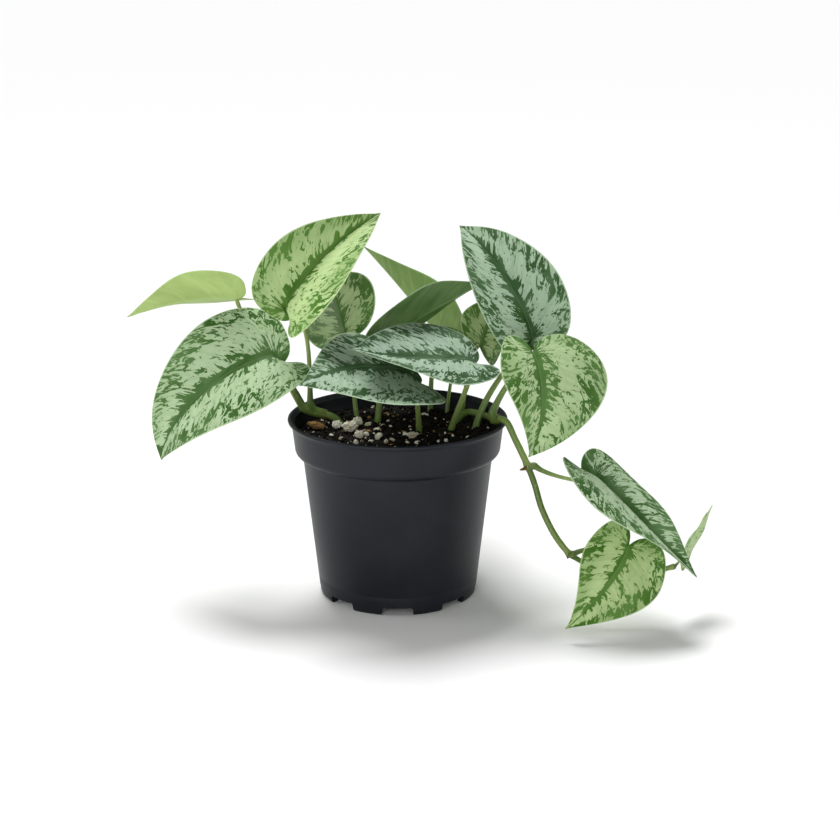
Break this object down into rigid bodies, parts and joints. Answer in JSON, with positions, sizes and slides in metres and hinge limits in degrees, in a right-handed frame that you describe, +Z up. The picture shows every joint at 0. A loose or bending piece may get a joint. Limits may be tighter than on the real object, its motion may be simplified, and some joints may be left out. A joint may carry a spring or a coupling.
{
  "type": "potted live plant",
  "caption": "Trailing plant with silvery-patterned heart-shaped leaves on arching petioles in a round black nursery pot; one vine hangs over the rim.",
  "frame": {"origin": "centre of the pot's base, on the surface that the pot stands on", "axes": "+Z up; -Y is the front, which the rooted leaves face; +X is the side where the vine hangs over the rim"},
  "size_m": [0.3211, 0.2056, 0.2064],
  "materials": {
    "plastic": "dark charcoal moulded plastic, satin, rounded lip",
    "soil": "damp near-black peat substrate with fine fibres",
    "bark": "dry tan bark chip",
    "perlite": "matt off-white expanded mineral grains",
    "leaf": "silvery green with ragged dark green midrib and flecks, semi-matt, pale margin, plain green underside",
    "stem": "olive green, semi-matt, paler towards the blade",
    "nub": "dry brown aerial root nub"
  },
  "bodies": {
    "root": {"leaf_left_front": "leaf", "petiole_left_front": "stem", "leaf_far_left": "leaf", "petiole_far_left": "stem", "leaf_upper_left": "leaf", "petiole_upper_left": "stem", "leaf_left_rear": "leaf", "petiole_left_rear": "stem", "leaf_front_low": "leaf", "petiole_front_low": "stem", "leaf_front_middle": "leaf", "petiole_front_middle": "stem", "leaf_upper_right": "leaf", "petiole_upper_right": "stem", "leaf_right": "leaf", "petiole_right": "stem", "leaf_rear_tall": "leaf", "petiole_rear_tall": "stem", "leaf_rear_plain": "leaf", "petiole_rear_plain": "stem", "leaf_rear_small": "leaf", "petiole_rear_small": "stem", "leaf_rear_right": "leaf", "petiole_rear_right": "stem", "leaf_vine_upper": "leaf", "petiole_vine_upper": "stem", "leaf_vine_lower": "leaf", "petiole_vine_lower": "stem", "leaf_vine_tip": "leaf", "petiole_vine_tip": "stem", "stem_left": "stem", "vine_runner": "stem", "vine_middle": "stem", "vine_end": "stem", "root_nub_upper": "nub", "root_nub_lower": "nub", "bark_chip": "bark", "perlite_lump_1": "perlite", "perlite_lump_2": "perlite", "perlite_lump_3": "perlite", "perlite_lump_4": "perlite", "perlite_lump_5": "perlite", "soil": "soil", "pot": "plastic"}
  },
  "joints": []
}
